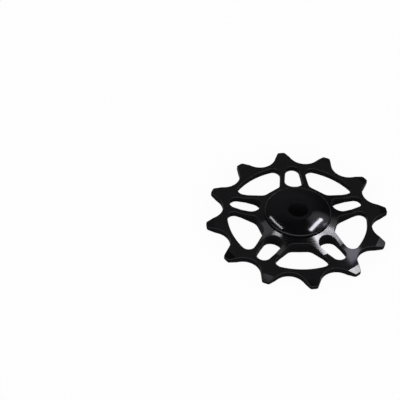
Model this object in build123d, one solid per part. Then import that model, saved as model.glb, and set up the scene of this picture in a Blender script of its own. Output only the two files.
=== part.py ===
from build123d import *

import os
from math import acos, asin, atan2, cos, hypot, pi, sin, sqrt, tan

# A derailleur jockey wheel: a machined aluminium pulley on a sealed ball bearing, closed by
# two domed end caps whose spigots carry the bearing on a 5 mm bolt.
#
# Frame: millimetres, with the origin on the spin axis in the middle of the toothed plate.
# +Z runs along the axis towards the front cap. +X runs through a tooth that stands on the
# centre line of a split spoke. A section is drawn as (radius, height) points and turned about Z.

# Teeth, made for half-inch chain
chain_pitch = 12.7
tooth_count = 12
tip_height = 0.465  # tooth tip above the pitch circle
root_depth = 4.135  # bottom of a tooth gap below the pitch circle
seat_radius = 4.6  # round bottom of a tooth gap, with room for the chain's rollers
tip_width = 1.9
plate_thickness = 1.85
tip_bevel_length = 2.0  # radial length of the bevel on both sides of each tip
tip_bevel_depth = 0.375  # each bevel thins the tip by this much

# Spokes: each is two arms round a small window, with a large window to the next spoke
spoke_count = 5
rim_wall = 1.3  # between a window and the bottom of a tooth gap
hub_wall = 2.25  # between the bearing and a small window
large_window_setback = 0.5  # a large window starts this much further out than a small one
small_window_inner_width = 5.7
small_window_outer_width = 3.5
arm_hub_width = 1.2
arm_rim_width = 1.5
small_inner_flat = 0.26  # straight edge left between the rounds at a small window's inner end
small_outer_round = 1.3
large_inner_round = 2.2
large_outer_round = 1.9

# Hub
flare_length = 6.1  # radial length of the cone from the hub down to the flat plate
hub_ledge = 0.2  # ring at the top of the flare that shows round the cap
collar_wall = 0.4  # thin collar round the bearing, inside the cap's skirt
collar_height = 0.35  # of the collar above the ledge
bore_chamfer = 0.15

# Bearing, 8 x 16 x 5 mm with two rubber seals
bearing_bore = 8.0
bearing_diameter = 16.0
bearing_width = 5.0
ring_chamfer = 0.2
ball_share = 0.59525  # diameter of a ball over the radial section between bore and outside
ball_count = 9
groove_relief = 0.048  # the groove of a race is this much larger in radius than a ball
groove_depth = 0.4  # of each race below its ring's land
cage_wall = 1.0  # radial
cage_web = 0.35  # under each pocket
cage_grip = 0.55  # the cage's horns reach this far past the middle of the balls
cage_slot_width = 0.7  # between the horns of neighbouring pockets
cage_slot_depth = 1.0
seal_recess = 0.2  # seal groove below the ring's face
seal_groove_width = 0.4
seal_groove_depth = 0.25  # undercut that holds the seal's bead
seal_mouth = 0.35  # step from the outer ring's land to the seal's opening
seal_lip_width = 0.25  # thinned inner edge of a seal

# End caps
cap_rim_height = 0.7
cap_rim_chamfer = 0.15
dome_rise = 0.85  # from the rim to the flat face
cap_face_width = 1.1  # flat ring round the bolt hole that the derailleur's plate clamps
skirt_wall = 0.4
shoulder_setback = 0.25  # a cap bears on the inner ring this far inside the ring's land
bolt_hole_diameter = 5.2
bolt_hole_chamfer = 0.3
spigot_chamfer = 0.3

# Clearances
press_gap = 0.01  # outer ring in the hub, and spigots in the inner ring
ball_gap = 0.02  # ball to each race
pocket_gap = 0.08  # ball to cage
seal_lip_gap = 0.05  # seal to the inner ring
seal_seat_gap = 0.02  # seal's bead in its groove
skirt_gap = 0.19  # cap's skirt round the turning collar
face_gap = 0.16  # cap over the turning hub and outer ring
spigot_gap = 0.1  # between the ends of the two spigots

# Worked out from the values above
pitch_radius = chain_pitch / (2 * sin(pi / tooth_count))
tip_radius = pitch_radius + tip_height
root_radius = pitch_radius - root_depth
window_outer_radius = root_radius - rim_wall
bearing_radius = bearing_diameter / 2
bearing_top = bearing_width / 2
hub_bore_radius = bearing_radius + press_gap
collar_radius = hub_bore_radius + collar_wall
cap_radius = collar_radius + skirt_gap + skirt_wall
hub_radius = cap_radius + hub_ledge
hub_top = bearing_top - collar_height
plate_top = plate_thickness / 2
small_window_inner_radius = bearing_radius + hub_wall
large_window_inner_radius = small_window_inner_radius + large_window_setback
ball_diameter = ball_share * (bearing_diameter - bearing_bore) / 2
ball_radius = ball_diameter / 2
ball_pitch_radius = (bearing_bore + bearing_diameter) / 4
race_radius = ball_radius + groove_relief
inner_race_radius = ball_pitch_radius - ball_radius - ball_gap
outer_race_radius = ball_pitch_radius + ball_radius + ball_gap
inner_land_radius = inner_race_radius + groove_depth
outer_land_radius = outer_race_radius - groove_depth
seal_mouth_radius = outer_land_radius + seal_mouth
seal_groove_radius = seal_mouth_radius + seal_groove_depth
skirt_bottom = hub_top + face_gap
cap_rim_top = skirt_bottom + cap_rim_height
cap_face = cap_rim_top + dome_rise
tooth_step = 360 / tooth_count
spoke_step = 360 / spoke_count


def mirrored(points):
    """The lower half of a section, in the order that carries on from its upper half."""
    return [(radius, -height) for radius, height in reversed(points)]


def turned(*curves):
    """The solid that a closed section swept about the spin axis makes."""
    edges = [edge for curve in curves for edge in curve.edges()]
    return revolve(Plane.XZ * make_face(edges), Axis.Z)


def cut_through(face, count, start_angle):
    """Cutting tools that pass right through the wheel, one for each copy of a face."""
    tool = extrude(face, amount=cap_face, both=True)
    return PolarLocations(0, count, start_angle=start_angle) * tool


def line_at_x(start, end, x):
    """The point of a straight line that has this x."""
    share = (x - start[0]) / (end[0] - start[0])
    return x, start[1] + share * (end[1] - start[1])


def line_at_radius(start, end, radius):
    """The outer point of a straight line that lies this far from the spin axis."""
    along = (Vector(*end) - Vector(*start)).normalized()
    nearest = Vector(*start) - along * Vector(*start).dot(along)
    point = nearest + along * sqrt(radius**2 - nearest.length**2)
    return point.X, point.Y


def tooth_gap():
    """One gap between two teeth, on the +X axis: a round seat with straight tangent flanks."""
    seat_x = root_radius + seat_radius
    corner_angle = pi / tooth_count - asin(tip_width / 2 / tip_radius)
    corner = tip_radius * cos(corner_angle), tip_radius * sin(corner_angle)
    from_seat = corner[0] - seat_x, corner[1]
    flank_angle = atan2(from_seat[1], from_seat[0]) + acos(seat_radius / hypot(*from_seat))
    tangent = seat_x + seat_radius * cos(flank_angle), seat_radius * sin(flank_angle)
    outside = line_at_x(tangent, corner, tip_radius + tip_height)
    low_tangent, low_outside = (tangent[0], -tangent[1]), (outside[0], -outside[1])
    return make_face(
        [
            Line(outside, tangent),
            ThreePointArc(tangent, (root_radius, 0), low_tangent),
            Line(low_tangent, low_outside),
            Line(low_outside, outside),
        ]
    )


def window(inner, outer, inner_round, outer_round):
    """A window on the +X axis with rounded corners, from its upper inner and outer corners."""
    low_inner, low_outer = (inner[0], -inner[1]), (outer[0], -outer[1])
    face = make_face(
        [
            Line(low_inner, inner),
            Line(inner, outer),
            ThreePointArc(outer, (window_outer_radius, 0), low_outer),
            Line(low_outer, low_inner),
        ]
    )
    face = fillet(face.vertices().sort_by(Axis.X)[:2], inner_round)
    return fillet(face.vertices().sort_by(Axis.X)[-2:], outer_round)


def small_window_side():
    """Upper inner and outer corners of a small window on the +X axis."""
    inner = small_window_inner_radius, small_window_inner_width / 2
    towards = window_outer_radius, small_window_outer_width / 2
    return inner, line_at_radius(inner, towards, window_outer_radius)


def large_window_side():
    """Upper inner and outer corners of a large window on the +X axis, set by the arm beside it."""
    inner, outer = (Vector(*corner) for corner in small_window_side())
    across = (outer - inner).normalized().rotate(Axis.Z, 90)
    arm = [inner + across * arm_hub_width, outer + across * arm_rim_width]
    # the arm beside the window below, turned back by half a spoke and mirrored to the upper side
    turned_back = [point.rotate(Axis.Z, -spoke_step / 2) for point in arm]
    hub_end, rim_end = [(point.X, -point.Y) for point in turned_back]
    return (
        line_at_x(hub_end, rim_end, large_window_inner_radius),
        line_at_radius(hub_end, rim_end, window_outer_radius),
    )


def inner_round_beside(flat, inner, outer):
    """The corner round that leaves this much straight edge at the inner end of a window."""
    side_slope = atan2(outer[1] - inner[1], outer[0] - inner[0])
    return (inner[1] - flat / 2) * tan((pi / 2 + side_slope) / 2)


def pulley_wheel():
    """The toothed wheel: a turned blank with its tooth gaps and windows milled through."""
    upper = [
        (hub_bore_radius, bearing_top - bore_chamfer),
        (hub_bore_radius + bore_chamfer, bearing_top),
        (collar_radius, bearing_top),
        (collar_radius, hub_top),
        (hub_radius, hub_top),
        (hub_radius + flare_length, plate_top),
        (tip_radius - tip_bevel_length, plate_top),
        (tip_radius, plate_top - tip_bevel_depth),
    ]
    wheel = turned(Polyline(*upper, *mirrored(upper), close=True))
    small_side = small_window_side()
    small_inner_round = inner_round_beside(small_inner_flat, *small_side)
    small = window(*small_side, small_inner_round, small_outer_round)
    large = window(*large_window_side(), large_inner_round, large_outer_round)
    wheel -= cut_through(tooth_gap(), tooth_count, tooth_step / 2)
    wheel -= cut_through(small, spoke_count, 0)
    wheel -= cut_through(large, spoke_count, spoke_step / 2)
    return wheel


def race(land_radius, race_bottom, centre_radius):
    """The groove of a race in section, from its upper edge on the land to its lower one."""
    half_width = sqrt(race_radius**2 - (land_radius - centre_radius) ** 2)
    upper_edge, lower_edge = (land_radius, half_width), (land_radius, -half_width)
    return ThreePointArc(upper_edge, (race_bottom, 0), lower_edge)


def bearing_inner_ring():
    """The ring that the caps clamp, with a ball groove on its outside."""
    bore = bearing_bore / 2
    groove = race(inner_land_radius, inner_race_radius, inner_race_radius + race_radius)
    upper = [
        (inner_land_radius, (groove @ 0).Y),
        (inner_land_radius, bearing_top),
        (bore + ring_chamfer, bearing_top),
        (bore, bearing_top - ring_chamfer),
    ]
    return turned(groove, Polyline(*upper, *mirrored(upper)))


def bearing_outer_ring():
    """The ring that is pressed into the hub, with a ball groove and two seal grooves inside."""
    groove = race(outer_land_radius, outer_race_radius, outer_race_radius - race_radius)
    seal_top = bearing_top - seal_recess
    seal_floor = seal_top - seal_groove_width
    upper = [
        (outer_land_radius, (groove @ 0).Y),
        (outer_land_radius, seal_floor),
        (seal_groove_radius, seal_floor),
        (seal_groove_radius, seal_top),
        (seal_mouth_radius, seal_top),
        (seal_mouth_radius, bearing_top),
        (bearing_radius - ring_chamfer, bearing_top),
        (bearing_radius, bearing_top - ring_chamfer),
    ]
    return turned(groove, Polyline(*upper, *mirrored(upper)))


def seal():
    """The front rubber seal: a disc with its edge in the outer ring's groove and a thin inner lip."""
    top = bearing_top - seal_recess - seal_seat_gap
    floor = top - seal_groove_width + 2 * seal_seat_gap
    lip_radius = inner_land_radius + seal_lip_gap
    edge_radius = seal_groove_radius - seal_seat_gap
    section = Polyline(
        (lip_radius, (top + floor) / 2),
        (lip_radius, top),
        (edge_radius, top),
        (edge_radius, floor),
        (lip_radius + seal_lip_width, floor),
        close=True,
    )
    return turned(section)


def ball_places():
    """Places of the ball centres round the bearing, each with its own X axis pointing outwards."""
    return PolarLocations(ball_pitch_radius, ball_count)


def ball_cage():
    """The moulded crown cage: a ring under the balls with a snap-in pocket for each."""
    pocket_radius = ball_radius + pocket_gap
    floor = -pocket_radius - cage_web
    outer, inner = ball_pitch_radius + cage_wall / 2, ball_pitch_radius - cage_wall / 2
    section = Polyline(
        (inner, floor), (outer, floor), (outer, cage_grip), (inner, cage_grip), close=True
    )
    pocket = Rot(0, 90, 0) * Cylinder(pocket_radius, 2 * cage_wall)
    slot = Pos(0, 0, cage_grip) * Box(2 * cage_wall, cage_slot_width, 2 * cage_slot_depth)
    between_balls = PolarLocations(ball_pitch_radius, ball_count, start_angle=180 / ball_count)
    return turned(section) - ball_places() * pocket - between_balls * slot


def end_cap():
    """The front cap: a domed cover with a skirt round the hub's collar and a bored spigot."""
    hole = bolt_hole_diameter / 2
    spigot = bearing_bore / 2 - press_gap
    shoulder = inner_land_radius - shoulder_setback
    roof = bearing_top + face_gap
    spigot_end = spigot_gap / 2
    lead_in = min(spigot_chamfer, (spigot - hole) / 2)
    face_radius = hole + bolt_hole_chamfer + cap_face_width
    dome_edge = cap_radius - cap_rim_chamfer
    # the dome is part of a sphere whose centre is on the spin axis
    squares = cap_face**2 + face_radius**2 - cap_rim_top**2 - dome_edge**2
    sphere_z = squares / (2 * dome_rise)
    sphere_radius = hypot(face_radius, cap_face - sphere_z)
    middle = (face_radius + dome_edge) / 2
    middle_z = sphere_z + sqrt(sphere_radius**2 - middle**2)
    dome = ThreePointArc((face_radius, cap_face), (middle, middle_z), (dome_edge, cap_rim_top))
    section = Polyline(
        (dome_edge, cap_rim_top),
        (cap_radius, cap_rim_top - cap_rim_chamfer),
        (cap_radius, skirt_bottom),
        (cap_radius - skirt_wall, skirt_bottom),
        (cap_radius - skirt_wall, roof),
        (shoulder, roof),
        (shoulder, bearing_top),
        (spigot, bearing_top),
        (spigot, spigot_end + lead_in),
        (spigot - lead_in, spigot_end),
        (hole, spigot_end),
        (hole, cap_face - bolt_hole_chamfer),
        (hole + bolt_hole_chamfer, cap_face),
        (face_radius, cap_face),
    )
    return turned(dome, section)


def parts():
    """Every piece by its name, in its place."""
    to_rear = Rot(180, 0, 0)
    pieces = {
        "pulley_wheel": pulley_wheel(),
        "bearing_outer_ring": bearing_outer_ring(),
        "bearing_inner_ring": bearing_inner_ring(),
        "ball_cage": ball_cage(),
        "front_seal": seal(),
        "rear_seal": to_rear * seal(),
        "front_cap": end_cap(),
        "rear_cap": to_rear * end_cap(),
    }
    for number, place in enumerate(ball_places(), start=1):
        pieces[f"ball_{number}"] = place * Sphere(ball_radius)
    return pieces


os.makedirs("parts", exist_ok=True)
for name, piece in parts().items():
    export_step(piece, f"parts/{name}.step")
    print(name, round(piece.volume, 2), "mm3")
print("across the teeth", round(2 * tip_radius, 3), "and over the caps", round(2 * cap_face, 3), "mm")
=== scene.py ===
# %% [markdown]
# A derailleur jockey wheel, dressed for a product picture.
#
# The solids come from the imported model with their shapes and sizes, so this lesson is about finish: how
# edges are broken so that they catch the light, how turned and milled black anodised aluminium are told
# apart, and how a black part is lit on white.

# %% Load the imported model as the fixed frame
from math import cos, pi, radians, sin

import bpy
from mathutils import Matrix, Quaternion, Vector


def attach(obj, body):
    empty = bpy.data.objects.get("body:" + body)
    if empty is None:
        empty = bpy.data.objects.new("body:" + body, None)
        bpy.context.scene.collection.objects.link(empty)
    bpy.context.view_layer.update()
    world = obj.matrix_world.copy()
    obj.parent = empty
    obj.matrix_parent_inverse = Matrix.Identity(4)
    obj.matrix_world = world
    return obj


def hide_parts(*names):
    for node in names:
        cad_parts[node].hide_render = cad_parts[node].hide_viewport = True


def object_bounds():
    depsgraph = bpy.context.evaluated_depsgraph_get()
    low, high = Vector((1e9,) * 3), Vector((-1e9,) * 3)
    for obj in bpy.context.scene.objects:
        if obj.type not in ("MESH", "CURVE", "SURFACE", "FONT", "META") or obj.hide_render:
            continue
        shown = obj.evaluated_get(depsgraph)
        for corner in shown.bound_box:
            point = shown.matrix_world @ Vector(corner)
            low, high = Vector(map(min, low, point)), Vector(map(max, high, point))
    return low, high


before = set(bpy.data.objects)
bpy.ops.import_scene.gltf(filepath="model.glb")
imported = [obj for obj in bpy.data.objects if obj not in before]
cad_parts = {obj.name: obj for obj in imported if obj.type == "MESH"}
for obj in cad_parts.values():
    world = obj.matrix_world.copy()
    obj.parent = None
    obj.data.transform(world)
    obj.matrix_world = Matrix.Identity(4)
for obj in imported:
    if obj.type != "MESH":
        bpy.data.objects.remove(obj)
cad_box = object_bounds()
scene = bpy.context.scene
MM = 0.001  # all lengths are in metres
print("pieces in the frame:", len(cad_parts))

# %% [markdown]
# The camera looks from where the picture was taken. Its place is a distance and two angles, and it
# aims beside the wheel, because the wheel is right of the middle in the picture. A small roll levels it.

# %% Camera
CAMERA_DISTANCE = 450 * MM
CAMERA_AZIMUTH = radians(44.5)
CAMERA_ELEVATION = radians(46.78)
CAMERA_ROLL = radians(3.11)
CAMERA_AIM = Vector((-21.15, -17.06, 0)) * MM
CAMERA_LENS = 148.28


def direction(azimuth, elevation):
    """Unit vector towards a place round the wheel, where azimuth 0 is -Y and 90 degrees is +X."""
    flat = cos(elevation)
    return Vector((sin(azimuth) * flat, -cos(azimuth) * flat, sin(elevation)))


bpy.ops.object.camera_add(location=CAMERA_DISTANCE * direction(CAMERA_AZIMUTH, CAMERA_ELEVATION))
camera = bpy.context.object
camera.name = "product_camera"
camera.data.lens = CAMERA_LENS
looking = (CAMERA_AIM - camera.location).to_track_quat("-Z", "Y")
camera.rotation_euler = (looking @ Quaternion((0, 0, 1), CAMERA_ROLL)).to_euler()
scene.camera = camera
print("camera at", [round(c / MM, 1) for c in camera.location], "mm")

# %% [markdown]
# Every finish here, and the room too, is a node tree: nodes that each work out one thing, joined from
# output to input. Four short helpers keep such trees readable. They could be written out each time,
# but then the settings that matter would be lost among calls that all look alike.

# %% Helpers for node trees
def new_material(name):
    """An empty node material with its output, ready to be filled."""
    material = bpy.data.materials.new(name)
    material.use_nodes = True
    material.node_tree.nodes.clear()
    return material, material.node_tree.nodes.new("ShaderNodeOutputMaterial")


def add(owner, kind, **settings):
    """Adds one node to the tree of a material or world and sets its properties."""
    node = owner.node_tree.nodes.new(kind)
    for key, value in settings.items():
        setattr(node, key, value)
    return node


def join(owner, *pairs):
    """Links pairs of sockets, from output to input."""
    for output, socket in pairs:
        owner.node_tree.links.new(output, socket)


def combined(owner, first, second, operation="ADD"):
    """A Math node on two sockets."""
    node = add(owner, "ShaderNodeMath", operation=operation)
    join(owner, (first, node.inputs[0]), (second, node.inputs[1]))
    return node.outputs[0]


# %% [markdown]
# A floor that is white to the camera would light the wheel from below if it were simply bright. So
# its brightness is for camera, mirror and glass rays only, and a share of plain white paint under it
# keeps the soft shadow of the wheel. From below the floor is clear, so that the underside can be seen,
# and it lies a hair under the lower cap, because two faces at one height would flicker.

# %% Floor
FLOOR_SIZE = 6.0
FLOOR_GLOW = 0.94
FLOOR_GAP = 0.02 * MM
floor_height = cad_box[0].z - FLOOR_GAP


def floor_paint():
    """White paint with a glow that only camera, glossy and transmission rays see."""
    material, output = new_material("white_floor")
    rays = add(material, "ShaderNodeLightPath")
    seen = combined(material, rays.outputs["Is Camera Ray"], rays.outputs["Is Glossy Ray"], "MAXIMUM")
    seen = combined(material, seen, rays.outputs["Is Transmission Ray"], "MAXIMUM")
    paint = add(material, "ShaderNodeBsdfDiffuse")
    paint.inputs["Color"].default_value = (1 - FLOOR_GLOW,) * 3 + (1,)
    glow = add(material, "ShaderNodeEmission")
    glow_share = add(material, "ShaderNodeMath", operation="MULTIPLY")
    glow_share.inputs[1].default_value = FLOOR_GLOW
    both = add(material, "ShaderNodeAddShader")
    one_sided = add(material, "ShaderNodeMixShader")
    join(
        material,
        (seen, glow_share.inputs[0]),
        (glow_share.outputs[0], glow.inputs["Strength"]),
        (paint.outputs[0], both.inputs[0]),
        (glow.outputs[0], both.inputs[1]),
        (add(material, "ShaderNodeNewGeometry").outputs["Backfacing"], one_sided.inputs["Fac"]),
        (both.outputs[0], one_sided.inputs[1]),
        (add(material, "ShaderNodeBsdfTransparent").outputs[0], one_sided.inputs[2]),
        (one_sided.outputs[0], output.inputs["Surface"]),
    )
    return material


bpy.ops.object.select_all(action="DESELECT")
bpy.ops.mesh.primitive_plane_add(size=FLOOR_SIZE, location=(0, 0, floor_height))
floor = bpy.context.object
floor.name = "floor"
floor.data.materials.append(floor_paint())
print("floor at", round(floor_height / MM, 2), "mm")

# %% [markdown]
# Black gloss mirrors the room. Across from the camera the room is dim, because that is what the flat
# faces of the wheel mirror, and it grows pale towards eye level. The wall behind the camera is pale too
# and lights everything evenly. There are two soft glows: a faint one high up across from the camera,
# and a haze round the lamp on the right. The room is worked out from the direction of a ray alone, so
# it needs no walls to be modelled.

# %% Room
# A place is given as right, away and up from the camera's side. A fade is a pair of values of the
# nearness to a place, or to straight up for the horizon, between which the light changes.
HORIZON_LIGHT = 0.6
CEILING_LIGHT = 0.05
HORIZON_FADE = (0.02, 0.45)
GLOW_LIGHT = 0.13
GLOW_PLACE = (-0.12, 0.75, 0.65)
GLOW_FADE = (0.92, 0.99)
HAZE_LIGHT = 1.1
HAZE_PLACE = (0.27, 0.57, 0.776)
HAZE_FADE = (0.982, 0.998)
WALL_LIGHT = 2.0
WALL_PLACE = (0, -1, 0)
WALL_FADE = (0, 0.5)


def from_camera(x, y, z):
    """A direction given as right, away and up from the camera's side, turned into the frame."""
    return Quaternion((0, 0, 1), CAMERA_AZIMUTH) @ Vector((x, y, z))


def fading(world, value, fade, low, high):
    """A brightness that goes smoothly from low to high while a value goes through a fade's two ends."""
    node = add(world, "ShaderNodeMapRange", interpolation_type="SMOOTHSTEP")
    for socket, number in zip(("From Min", "From Max", "To Min", "To Max"), (*fade, low, high)):
        node.inputs[socket].default_value = number
    join(world, (value, node.inputs["Value"]))
    return node.outputs["Result"]


def nearness(world, ray, towards):
    """How nearly a ray goes in one direction: 1 along it, 0 across it."""
    node = add(world, "ShaderNodeVectorMath", operation="DOT_PRODUCT")
    node.inputs[1].default_value = towards.normalized()
    join(world, (ray, node.inputs[0]))
    return node.outputs["Value"]


def room_light():
    """A room that is pale at eye level and behind the camera and dim elsewhere, with two soft glows."""
    world = bpy.data.worlds.new("studio_room")
    world.use_nodes = True
    world.node_tree.nodes.clear()
    output = add(world, "ShaderNodeOutputWorld")
    background = add(world, "ShaderNodeBackground")
    background.inputs["Color"].default_value = (1, 1, 1, 1)
    ray = add(world, "ShaderNodeTexCoord").outputs["Generated"]
    height = nearness(world, ray, Vector((0, 0, 1)))
    near_glow = nearness(world, ray, from_camera(*GLOW_PLACE))
    near_haze = nearness(world, ray, from_camera(*HAZE_PLACE))
    near_wall = nearness(world, ray, from_camera(*WALL_PLACE))
    horizon = fading(world, height, HORIZON_FADE, low=HORIZON_LIGHT, high=CEILING_LIGHT)
    glow = fading(world, near_glow, GLOW_FADE, low=0, high=GLOW_LIGHT)
    haze = fading(world, near_haze, HAZE_FADE, low=0, high=HAZE_LIGHT)
    wall = fading(world, near_wall, WALL_FADE, low=0, high=WALL_LIGHT)
    light = combined(world, combined(world, horizon, glow), combined(world, haze, wall))
    join(world, (light, background.inputs["Strength"]), (background.outputs[0], output.inputs["Surface"]))
    return world


scene.world = room_light()
print("nodes in the room:", len(scene.world.node_tree.nodes))

# %% [markdown]
# Each bright patch on a glossy black part is the mirror image of a lamp, so a lamp is placed by asking
# where that patch of the surface looks. The domed cap shows two streaks. A far strip gives the right
# one. The left one has a slight bend, so two short strips near the wheel make it, end to end.

# %% Lamps of the caps
RIGHT_STRIP_PLACE = from_camera(0.236, 0.489, 0.84)
RIGHT_STRIP_ALONG = from_camera(0.333, 0.764, -0.552)
RIGHT_STRIP_DISTANCE = 10.0
RIGHT_STRIP_WIDTH = 0.42
LEFT_STRIP_DISTANCE = 60 * MM
LEFT_STRIP_WIDTH = 1.4 * MM
LEFT_STRIP_LIGHT = 18


def facing(towards, along):
    """Rotation whose -Z looks back at the wheel and whose Y runs as near to a direction as it can."""
    along = (along - along.dot(towards) * towards).normalized()
    across = along.cross(towards)
    return Matrix((across, along, towards)).transposed()


def lamp(name, towards, distance, width, length, along, brightness, colour=(1, 1, 1)):
    """A rectangular soft lamp that faces the wheel, with its length along a given direction."""
    towards = towards.normalized()
    bpy.ops.object.light_add(type="AREA", location=towards * distance)
    light = bpy.context.object
    light.name = name
    light.data.shape = "RECTANGLE"
    light.data.size, light.data.size_y = width, length
    light.data.energy = brightness * pi * width * length
    light.data.color = colour
    light.rotation_euler = facing(towards, along).to_euler()
    light.visible_camera = False
    print(name, "at", [round(c / MM, 1) for c in light.location], "mm")
    return light


right_strip = lamp(
    "right_strip",
    towards=RIGHT_STRIP_PLACE,
    distance=RIGHT_STRIP_DISTANCE,
    width=RIGHT_STRIP_WIDTH,
    length=2.95,
    along=RIGHT_STRIP_ALONG,
    brightness=33,
)
left_strip_far = lamp(
    "left_strip_far",
    towards=from_camera(-0.383, 0.395, 0.834),
    distance=LEFT_STRIP_DISTANCE,
    width=LEFT_STRIP_WIDTH,
    length=10 * MM,
    along=from_camera(-0.46, 0.705, -0.54),
    brightness=LEFT_STRIP_LIGHT,
)
left_strip_near = lamp(
    "left_strip_near",
    towards=from_camera(-0.286, 0.275, 0.917),
    distance=LEFT_STRIP_DISTANCE,
    width=LEFT_STRIP_WIDTH,
    length=11 * MM,
    along=from_camera(-0.64, 0.66, -0.39),
    brightness=LEFT_STRIP_LIGHT,
)

# %% [markdown]
# The flare of the hub leans nearly as much as the rim of the dome, so it would mirror the same strips,
# but in other places than the picture shows. It has lamps of its own instead: a shorter strip on the
# right, a small bright card for the gleam above the left front window, and a broad dim one for the
# haze beside it.

# %% Lamps of the flare
flare_strip = lamp(
    "flare_strip",
    towards=RIGHT_STRIP_PLACE,
    distance=RIGHT_STRIP_DISTANCE,
    width=RIGHT_STRIP_WIDTH,
    length=2.43,
    along=RIGHT_STRIP_ALONG,
    brightness=36,
)
flare_card = lamp(
    "flare_card",
    towards=from_camera(-0.263, 0.225, 0.938),
    distance=50.3 * MM,
    width=2 * MM,
    length=6 * MM,
    along=from_camera(-0.82, 0.53, -0.22),
    brightness=17,
)
flare_haze = lamp(
    "flare_haze",
    towards=from_camera(-0.419, 0.33, 0.845),
    distance=51.6 * MM,
    width=6 * MM,
    length=12 * MM,
    along=from_camera(-0.55, 0.755, -0.367),
    brightness=1.2,
)

# %% [markdown]
# Three more small cards close to the wheel are mirrored in one place each: the plate beside the right
# front tooth, the left front arm, and the bevel of the right front tooth. Each part of the wheel sees a
# near lamp in another direction, so its image falls on one place only. The one for the plate is a cool
# white.

# %% Cards for the plate, the arm and the tooth
COOL_WHITE = (0.9, 0.89, 1)
CARD_ALONG = from_camera(-0.5, 0.85, 0)

lamp(
    "plate_card",
    towards=from_camera(0.632, 0.235, 0.737),
    distance=26.3 * MM,
    width=4.4 * MM,
    length=6 * MM,
    along=CARD_ALONG,
    brightness=3.8,
    colour=COOL_WHITE,
)
lamp(
    "arm_card",
    towards=from_camera(-0.184, -0.01, 0.983),
    distance=48.8 * MM,
    width=5 * MM,
    length=12 * MM,
    along=from_camera(-0.32, -0.95, 0),
    brightness=1.3,
)
lamp(
    "tooth_card",
    towards=from_camera(0.538, 0.144, 0.83),
    distance=57.8 * MM,
    width=6 * MM,
    length=6 * MM,
    along=CARD_ALONG,
    brightness=9,
)

# %% [markdown]
# All the finishes are built from the same few patterns: even grain, rings about the spin axis, and a
# number or colour that follows one of them. They read the place on the piece itself, so a pattern stays
# on its piece when the wheel turns. Images could carry such marks too, but they would need a map of the
# surface, and these patterns need none.

# %% Patterns that the finishes share
NOISE_LOW, NOISE_HIGH = 0.25, 0.75  # noise mostly lies between these


def scaled_place(material, x, y, z):
    """Place on the piece in metres, stretched along each axis."""
    place = add(material, "ShaderNodeTexCoord").outputs["Object"]
    stretch = add(material, "ShaderNodeVectorMath", operation="MULTIPLY")
    stretch.inputs[1].default_value = (x, y, z)
    join(material, (place, stretch.inputs[0]))
    return stretch.outputs[0]


def noise(material, place, detail=3):
    """Soft noise from 0 to 1 over a place in units of its own grain."""
    node = add(material, "ShaderNodeTexNoise")
    node.inputs["Scale"].default_value = 1
    node.inputs["Detail"].default_value = detail
    join(material, (place, node.inputs["Vector"]))
    return node.outputs["Fac"]


def grain(material, size):
    """Noise with the same grain size in all directions."""
    return noise(material, scaled_place(material, 1 / size, 1 / size, 1 / size))


def lathe_rings(material, feed, detail=2):
    """Uneven rings about the spin axis, as far apart as the feed of a turning tool."""
    flat = scaled_place(material, 1 / feed, 1 / feed, 0)
    radius = add(material, "ShaderNodeVectorMath", operation="LENGTH")
    rings = add(material, "ShaderNodeTexNoise", noise_dimensions="1D")
    rings.inputs["Scale"].default_value = 1
    rings.inputs["Detail"].default_value = detail
    join(material, (flat, radius.inputs[0]), (radius.outputs["Value"], rings.inputs["W"]))
    return rings.outputs["Fac"]


# %% [markdown]
# A pattern is then turned into what a surface needs: a number for its roughness, a colour for its dye,
# or a bump for its marks. The Principled surface at the end takes them all by the names of its sockets.

# %% From a pattern to a surface
def between(material, share, low, high):
    """A number that runs from low to high as a noise does."""
    node = add(material, "ShaderNodeMapRange")
    limits = (NOISE_LOW, NOISE_HIGH, low, high)
    for socket, value in zip(("From Min", "From Max", "To Min", "To Max"), limits):
        node.inputs[socket].default_value = value
    join(material, (share, node.inputs["Value"]))
    return node.outputs["Result"]


def colour_between(material, share, low, high):
    """A colour that runs between two as a noise does."""
    node = add(material, "ShaderNodeMix", data_type="RGBA")
    mix_low, mix_high = [socket for socket in node.inputs if socket.type == "RGBA"]
    mix_low.default_value, mix_high.default_value = (*low, 1), (*high, 1)
    join(material, (between(material, share, 0, 1), node.inputs["Factor"]))
    return next(socket for socket in node.outputs if socket.type == "RGBA")


def relief(material, height, depth):
    """Bump of a given depth in metres."""
    node = add(material, "ShaderNodeBump")
    node.inputs["Distance"].default_value = depth
    join(material, (height, node.inputs["Height"]))
    return node.outputs["Normal"]


def shaded(material, output, **sockets):
    """A Principled surface whose sockets are set to numbers or linked to other nodes."""
    surface = add(material, "ShaderNodeBsdfPrincipled")
    for name, value in sockets.items():
        socket = surface.inputs[name.replace("_", " ")]
        if isinstance(value, bpy.types.NodeSocket):
            join(material, (value, socket))
        else:
            socket.default_value = value
    join(material, (surface.outputs[0], output.inputs["Surface"]))


# %% [markdown]
# Anodised aluminium is metal under a thin dyed glass-like layer, so here it is a very dark base with a
# clear gleam over it. A turned face has uneven rings as fine as the tool's feed, so their height is
# noise that changes only with the distance from the spin axis. A milled wall has upright marks instead
# and is duller. On a broken edge the dye is thinner and paler.

# %% Finishes of the wheel
MILL_MARK_WIDTH = 0.12 * MM
MILL_MARK_HEIGHT = 2.5 * MM
THIN_DYE_DARK = (0.002, 0.002, 0.0025)
THIN_DYE_PALE = (0.005, 0.005, 0.006)


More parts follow.
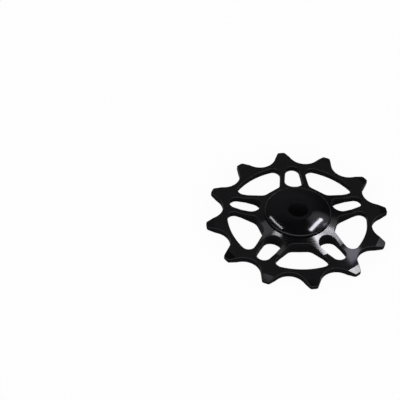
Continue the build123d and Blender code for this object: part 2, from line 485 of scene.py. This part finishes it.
def turned_anodise():
    """Flat and flared faces cut on a lathe."""
    dark = (0.0011, 0.0011, 0.0014)
    pale = (0.0018, 0.0017, 0.0023)
    material, output = new_material("turned_anodise")
    rings = lathe_rings(material, feed=0.16 * MM)
    dye = grain(material, size=2.4 * MM)
    shaded(
        material,
        output,
        Base_Color=colour_between(material, dye, low=dark, high=pale),
        Roughness=between(material, rings, low=0.09, high=0.13),
        Specular_IOR_Level=0.4,
        Specular_Tint=(0.95, 0.94, 1, 1),
        Normal=relief(material, rings, depth=0.0004 * MM),
    )
    return material


def milled_anodise():
    """Walls of the windows and tooth gaps, with the upright marks of an end mill."""
    dark = (0.004, 0.004, 0.0046)
    pale = (0.0066, 0.0066, 0.0076)
    material, output = new_material("milled_anodise")
    place = scaled_place(material, 1 / MILL_MARK_WIDTH, 1 / MILL_MARK_WIDTH, 1 / MILL_MARK_HEIGHT)
    marks = noise(material, place)
    shaded(
        material,
        output,
        Base_Color=colour_between(material, marks, low=dark, high=pale),
        Roughness=between(material, marks, low=0.42, high=0.54),
        Specular_IOR_Level=0.005,
        Normal=relief(material, marks, depth=0.0015 * MM),
    )
    return material


def broken_edge():
    """The narrow rounding along each milled edge, where the dye is thin."""
    material, output = new_material("broken_edge")
    wear = grain(material, size=0.5 * MM)
    shaded(
        material,
        output,
        Base_Color=colour_between(material, wear, low=THIN_DYE_DARK, high=THIN_DYE_PALE),
        Roughness=between(material, wear, low=0.2, high=0.34),
        Specular_IOR_Level=0.25,
    )
    return material


TURNED, MILLED, EDGE = range(3)  # the order of a piece's finishes
wheel_finishes = (turned_anodise(), milled_anodise(), broken_edge())
print("finishes of the wheel:", [finish.name for finish in wheel_finishes])

# %% [markdown]
# The wheel is turned from bar, then its gaps and windows are milled through. Its solid has sharp edges,
# and its mesh is loose triangles. A mesh like that can't be bevelled, so a copy is merged, its flat faces
# are cleared of triangles, and the last slivers beside them go too. The solid itself stays as it is.

# %% Merged copy of the wheel
MERGE_DISTANCE = 0.0005 * MM
FLAT_WITHIN = radians(0.3)
LEVEL_WITHIN = radians(1)
LEAST_FACET = 0.065 * MM * MM


def clear_slivers(piece):
    """Merges facets that are too small to be bevelled with the nearly level ones beside them."""
    bpy.ops.mesh.select_all(action="DESELECT")
    bpy.ops.mesh.select_mode(type="EDGE")
    bpy.ops.object.mode_set(mode="OBJECT")
    beside = {}
    for face in piece.data.polygons:
        for edge in face.edge_keys:
            beside.setdefault(edge, []).append(face)
    for edge in piece.data.edges:
        one, other = beside[edge.key]
        level = one.normal.angle(other.normal) < LEVEL_WITHIN
        edge.select = level and min(one.area, other.area) < LEAST_FACET
    print(piece.name, "edges beside slivers:", sum(edge.select for edge in piece.data.edges))
    bpy.ops.object.mode_set(mode="EDIT")
    bpy.ops.mesh.dissolve_edges(use_verts=False)


def merged_copy(node, name, finishes):
    """A separate object with a merged copy of a solid's mesh, left selected in edit mode."""
    piece = bpy.data.objects.new(name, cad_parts[node].data.copy())
    scene.collection.objects.link(piece)
    piece.data.materials.clear()
    for finish in finishes:
        piece.data.materials.append(finish)
    bpy.ops.object.select_all(action="DESELECT")
    piece.select_set(True)
    bpy.context.view_layer.objects.active = piece
    bpy.ops.object.mode_set(mode="EDIT")
    bpy.ops.mesh.select_all(action="SELECT")
    bpy.ops.mesh.remove_doubles(threshold=MERGE_DISTANCE)
    bpy.ops.mesh.customdata_custom_splitnormals_clear()
    bpy.ops.mesh.dissolve_limited(angle_limit=FLAT_WITHIN)
    clear_slivers(piece)
    return piece


wheel = merged_copy("pulley_wheel", "anodised_wheel", wheel_finishes)

# %% [markdown]
# An end mill leaves the outer end of each small window as one full round, where the solid has two small
# corners. The points at each end are spread evenly over an arc that meets both sides of the window
# smoothly. A bevel would have to run over both corners at once, and moving the points that are there is
# simpler and adds no faces.

# %% Full rounds at the outer ends of the small windows
SPOKES = 5
END_RADIUS = 19.1 * MM  # from the spin axis to the outer end of a small window
END_WIDTH = 3.5 * MM  # between the sides of a small window, taken at its outer end
END_DEPTH = 1.2 * MM  # the points within this distance of the outer end are the end's
END_SLACK = 0.1 * MM  # and so are those no further than this past it
END_REACH = 0.6 * END_WIDTH  # and this far to each side of the window's middle line
SIDE_LEAN = radians(7.09)  # of a small window's sides towards each other


def round_window_ends(piece):
    """Spreads the points at the outer end of each small window evenly over one full round."""
    bpy.ops.object.mode_set(mode="OBJECT")
    end_round = END_WIDTH / 2 * cos(SIDE_LEAN) / (1 - sin(SIDE_LEAN))
    sweep = pi / 2 - SIDE_LEAN
    moved = 0
    for spoke in range(SPOKES):
        turn = Matrix.Rotation(2 * pi * spoke / SPOKES, 3, "Z")
        for face_side in (1, -1):
            end = []
            for vertex in piece.data.vertices:
                place = vertex.co @ turn  # turned back onto the first spoke
                near = END_RADIUS - END_DEPTH < place.x < END_RADIUS + END_SLACK
                if near and abs(place.y) < END_REACH and place.z * face_side > 0:
                    end.append((place.y, vertex))
            end.sort(key=lambda pair: pair[0])
            for step, (_, vertex) in enumerate(end):
                angle = sweep * (2 * step / (len(end) - 1) - 1)
                along = END_RADIUS - end_round + end_round * cos(angle)
                vertex.co = turn @ Vector((along, end_round * sin(angle), vertex.co.z))
            moved += len(end)
    print("points spread over window ends:", moved)
    bpy.ops.object.mode_set(mode="EDIT")


round_window_ends(wheel)

# %% [markdown]
# Each tooth tip has two upright corners, and in the picture they are slightly round. They are found by
# their place, at the tip radius and standing upright, and bevelled in three steps.

# %% Rounded tooth tips
TIP_ROUND = 0.35 * MM
TIP_STEPS = 3
SHARP = radians(25)
LEAST_UPRIGHT = 0.5 * MM
TIP_SLACK = 0.02 * MM


def round_tips(piece):
    """Rounds the two upright corners of each tooth tip of a merged copy."""
    bpy.ops.mesh.select_all(action="DESELECT")
    bpy.ops.object.mode_set(mode="OBJECT")
    mesh = piece.data
    tip_radius = max(vertex.co.xy.length for vertex in mesh.vertices)
    bpy.ops.object.mode_set(mode="EDIT")
    bpy.ops.mesh.select_mode(type="EDGE")
    bpy.ops.mesh.edges_select_sharp(sharpness=SHARP)
    bpy.ops.object.mode_set(mode="OBJECT")
    for edge in mesh.edges:
        ends = [mesh.vertices[v].co for v in edge.vertices]
        upright = abs(ends[0].z - ends[1].z) > LEAST_UPRIGHT
        at_tip = min(end.xy.length for end in ends) > tip_radius - TIP_SLACK
        edge.select = edge.select and upright and at_tip
    print("tip corners:", sum(edge.select for edge in mesh.edges))
    bpy.ops.object.mode_set(mode="EDIT")
    bpy.ops.mesh.bevel(offset=TIP_ROUND, segments=TIP_STEPS, profile=0.5, clamp_overlap=False)


round_tips(wheel)

# %% [markdown]
# A maker breaks every milled edge, and that narrow rounding is what draws the thin light lines in a
# picture of a black part. The sharp edges are bevelled in edit mode, and the bevels get the finish of
# an edge. Shading is then made flat on the faces and round on the bevels, by weighting the normals by
# area. The low ridges where the flare and the tooth bevels begin are marked first, so that they stay
# crisp.

# %% Broken edges
EDGE_BREAK = 0.1 * MM
EDGE_STEPS = 2
RIDGE = radians(4)
SAME_HEIGHT = 0.001 * MM
LARGE_FACES_LEAD = 100


def mark_ridges(piece):
    """Marks the level edges of a piece sharp where two faces meet at a low angle."""
    bpy.ops.mesh.select_all(action="DESELECT")
    bpy.ops.mesh.select_mode(type="EDGE")
    bpy.ops.mesh.edges_select_sharp(sharpness=RIDGE)
    bpy.ops.object.mode_set(mode="OBJECT")
    mesh = piece.data
    for edge in mesh.edges:
        ends = [mesh.vertices[v].co for v in edge.vertices]
        level = abs(ends[0].z - ends[1].z) < SAME_HEIGHT
        edge.use_edge_sharp = edge.select and level
    bpy.ops.object.mode_set(mode="EDIT")


def break_edges(piece, width):
    """Rounds the sharp edges of a merged copy and shades its faces flat and its bevels round."""
    bpy.ops.mesh.select_all(action="DESELECT")
    bpy.ops.mesh.select_mode(type="EDGE")
    bpy.ops.mesh.edges_select_sharp(sharpness=SHARP)
    bpy.ops.mesh.mark_sharp(clear=True)
    bpy.ops.mesh.bevel(
        offset=width, segments=EDGE_STEPS, clamp_overlap=False, loop_slide=False, material=EDGE
    )
    bpy.ops.object.mode_set(mode="OBJECT")
    bpy.ops.object.shade_smooth()
    bpy.ops.object.modifier_add(type="WEIGHTED_NORMAL")
    weighting = piece.modifiers[-1]
    weighting.keep_sharp = True
    weighting.weight = LARGE_FACES_LEAD
    bpy.ops.object.modifier_apply(modifier=weighting.name)
    print(piece.name, "has", len(piece.data.polygons), "faces")


mark_ridges(wheel)
break_edges(wheel, EDGE_BREAK)

# %% [markdown]
# A cone made of flat facets shows them as soon as a lamp is mirrored in it. More facets would help a
# little. It is better to give each corner of the flare the normal of the true cone, which leans as its
# facet does and points straight away from the axis, and to let the bevels start from the same normals.

# %% Exact normals on the flare
def true_normals(piece, exact):
    """Gives turned faces their exact normals, also where a rounding starts on them."""
    mesh = piece.data
    normals = [corner.vector.copy() for corner in mesh.corner_normals]
    at_vertex = {}
    for face in mesh.polygons:
        for loop in face.loop_indices:
            vertex = mesh.loops[loop].vertex_index
            normal = None if face.material_index == EDGE else exact(face, mesh.vertices[vertex].co)
            if normal:
                normals[loop] = at_vertex[vertex] = normal
    for face in mesh.polygons:
        if face.material_index == EDGE:
            for loop in face.loop_indices:
                normals[loop] = at_vertex.get(mesh.loops[loop].vertex_index, normals[loop])
    mesh.normals_split_custom_set(normals)
    print(piece.name, "has", len(at_vertex), "points with exact normals")


def on_cone(face, point):
    """Normal of a cone face at a point: the lean of the face, straight away from the axis."""
    lean = face.normal.xy.length
    if not sin(RIDGE) < lean < sin(SHARP):
        return None
    outward = 1 if face.normal.xy.dot(face.center.xy) > 0 else -1
    away = point.xy.normalized() * lean * outward
    return Vector((away.x, away.y, face.normal.z)).normalized()


true_normals(wheel, on_cone)

# %% [markdown]
# The steep faces outside the hub are the milled ones. All other faces were turned. The finished copy
# turns with the wheel's body and stands for its solid.

# %% Finish of each face of the wheel
HUB_RADIUS = 9.5 * MM
STEEP = 0.5  # a face whose normal rises less than this is a wall

for face in wheel.data.polygons:
    if face.material_index != EDGE:
        milled = abs(face.normal.z) < STEEP and face.center.xy.length > HUB_RADIUS
        face.material_index = MILLED if milled else TURNED
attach(wheel, "wheel")
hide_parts("pulley_wheel")
print("wheel faces that are milled:", sum(face.material_index == MILLED for face in wheel.data.polygons))

# %% [markdown]
# The caps are turned too, but polished before they are dyed, so their rings are finer and their gleam
# is narrow enough to show the lamps as clean streaks. Their rims catch the light as thin rings.

# %% Finishes of the caps
def polished_anodise():
    """Polished and dyed dome."""
    dark = (0.0012, 0.0012, 0.0015)
    pale = (0.0022, 0.0021, 0.0027)
    material, output = new_material("polished_anodise")
    rings = lathe_rings(material, feed=0.09 * MM)
    dye = grain(material, size=1.8 * MM)
    shaded(
        material,
        output,
        Base_Color=colour_between(material, dye, low=dark, high=pale),
        Roughness=between(material, rings, low=0.05, high=0.08),
        Specular_IOR_Level=0.3,
        Specular_Tint=(0.9, 0.89, 1, 1),
        Normal=relief(material, rings, depth=0.00012 * MM),
    )
    return material


def polished_rim():
    """Rounded rims of a cap."""
    material, output = new_material("polished_rim")
    wear = grain(material, size=0.4 * MM)
    shaded(
        material,
        output,
        Base_Color=colour_between(material, wear, low=THIN_DYE_DARK, high=THIN_DYE_PALE),
        Roughness=between(material, wear, low=0.12, high=0.2),
        Specular_IOR_Level=0.25,
    )
    return material


cap_finishes = (polished_anodise(), milled_anodise(), polished_rim())
print("finishes of a cap:", [finish.name for finish in cap_finishes])

# %% [markdown]
# A cap's edges are broken less than the wheel's, because it is a small polished piece. The dome is part
# of a large sphere, and its normals are set to the sphere's own, for the same reason as on the flare.
# The faces inside the bolt hole are bored, so they get the duller finish of a milled wall.

# %% Caps
CAP_EDGE_BREAK = 0.06 * MM
DOME_RADIUS = 37.3 * MM
DOME_CENTRE = 33.225 * MM  # how far a dome's centre lies beyond the middle of the wheel
DOME_SLACK = 0.01 * MM
LEAST_DOME_LEAN = radians(3)  # a face that leans less is the flat ring round the bolt hole
BOLT_HOLE_REACH = 3.0 * MM  # the faces that lie wholly within this radius line the bolt hole


def on_sphere(centre):
    """Rule that gives the normal of a sphere of the dome's radius at points that lie on it."""

    def normal(face, point):
        spoke = point - centre
        on_it = abs(spoke.length - DOME_RADIUS) < DOME_SLACK and abs(face.normal.z) < cos(LEAST_DOME_LEAN)
        return spoke.normalized() if on_it else None

    return normal


caps = []
for side, centre_z in (("front", -DOME_CENTRE), ("rear", DOME_CENTRE)):
    cap = merged_copy(f"{side}_cap", f"{side}_dome", cap_finishes)
    mark_ridges(cap)
    break_edges(cap, CAP_EDGE_BREAK)
    true_normals(cap, on_sphere(Vector((0, 0, centre_z))))
    for face in cap.data.polygons:
        if face.material_index != EDGE:
            face.material_index = TURNED
        if max(cap.data.vertices[v].co.xy.length for v in face.vertices) < BOLT_HOLE_REACH:
            face.material_index = MILLED
    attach(cap, "axle")
    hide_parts(f"{side}_cap")
    caps.append(cap)

# %% [markdown]
# Now that the pieces are there, their lamps can be told to light them alone, as hoods on the lamps would
# do in a studio. Light linking gives a lamp a collection of the pieces that it lights, and all other
# pieces stay dark to it.

# %% Lamps that light one kind of piece
def light_only(name, lamps, pieces):
    """Lets lamps light some pieces only, as a hood on a lamp does."""
    lit = bpy.data.collections.new(name)
    for piece in pieces:
        lit.objects.link(piece)
    for light in lamps:
        light.light_linking.receiver_collection = lit
    print([light.name for light in lamps], "light only", [piece.name for piece in pieces])


light_only("pieces_with_streaks", (right_strip, left_strip_far, left_strip_near), caps)
light_only("pieces_with_flare", (flare_strip, flare_card, flare_haze), [wheel])

# %% [markdown]
# The bearing is hidden at rest, but each of its pieces is a piece of its own and is finished too. Its
# solids stay as they are and only change the plain finish that they came with for the right one. The two
# rings are steel, ground bright all round.

# %% Bearing rings
def dress(finish, nodes):
    """Gives solids a finish in place of the plain one that they came with."""
    for node in nodes:
        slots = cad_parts[node].data.materials
        slots.clear()
        slots.append(finish)
    print(finish.name, "on", len(nodes), "pieces")


def ground_steel():
    """Bright steel with fine rings from grinding."""
    dark = (0.50, 0.50, 0.52)
    pale = (0.62, 0.62, 0.63)
    material, output = new_material("ground_steel")
    rings = lathe_rings(material, feed=0.05 * MM)
    shaded(
        material,
        output,
        Base_Color=colour_between(material, rings, low=dark, high=pale),
        Metallic=1.0,
        Roughness=between(material, rings, low=0.18, high=0.28),
        Normal=relief(material, rings, depth=0.0003 * MM),
    )
    return material


dress(ground_steel(), ["bearing_outer_ring", "bearing_inner_ring"])

# %% [markdown]
# The balls are ceramic, which is dark and takes a fine polish. A plain dark gloss would do from a step
# away, and a faint mottle keeps it from looking like paint close up.

# %% Balls
def dark_ceramic():
    """Polished dark ceramic with a faint mottle."""
    dark = (0.045, 0.045, 0.05)
    pale = (0.07, 0.07, 0.074)
    material, output = new_material("dark_ceramic")
    mottle = grain(material, size=0.25 * MM)
    shaded(
        material,
        output,
        Base_Color=colour_between(material, mottle, low=dark, high=pale),
        Roughness=between(material, mottle, low=0.06, high=0.12),
    )
    return material


balls = [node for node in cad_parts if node.startswith("ball_") and node != "ball_cage"]
dress(dark_ceramic(), balls)

# %% [markdown]
# A cage of cream nylon keeps the balls apart. It comes out of a mould, so it has a slightly rough skin
# and no marks of a tool.

# %% Ball cage
def cream_nylon():
    """Moulded cream nylon."""
    dark = (0.66, 0.62, 0.49)
    pale = (0.76, 0.72, 0.60)
    material, output = new_material("cream_nylon")
    skin = grain(material, size=0.15 * MM)
    shaded(
        material,
        output,
        Base_Color=colour_between(material, skin, low=dark, high=pale),
        Roughness=between(material, skin, low=0.45, high=0.6),
        Normal=relief(material, skin, depth=0.002 * MM),
    )
    return material


dress(cream_nylon(), ["ball_cage"])

# %% [markdown]
# Two rubber seals close the bearing. Rubber is matt, and it copies the fine turned rings of its mould.

# %% Seals
def seal_rubber():
    """Moulded rubber with fine rings from its mould."""
    dark = (0.014, 0.014, 0.015)
    pale = (0.024, 0.024, 0.026)
    material, output = new_material("seal_rubber")
    rings = lathe_rings(material, feed=0.2 * MM)
    shaded(
        material,
        output,
        Base_Color=colour_between(material, rings, low=dark, high=pale),
        Roughness=between(material, rings, low=0.6, high=0.75),
        Normal=relief(material, rings, depth=0.004 * MM),
    )
    return material


dress(seal_rubber(), ["front_seal", "rear_seal"])

# %% [markdown]
# The Standard view shows colours as they are written.

# %% Colours as written
scene.view_settings.view_transform = "Standard"
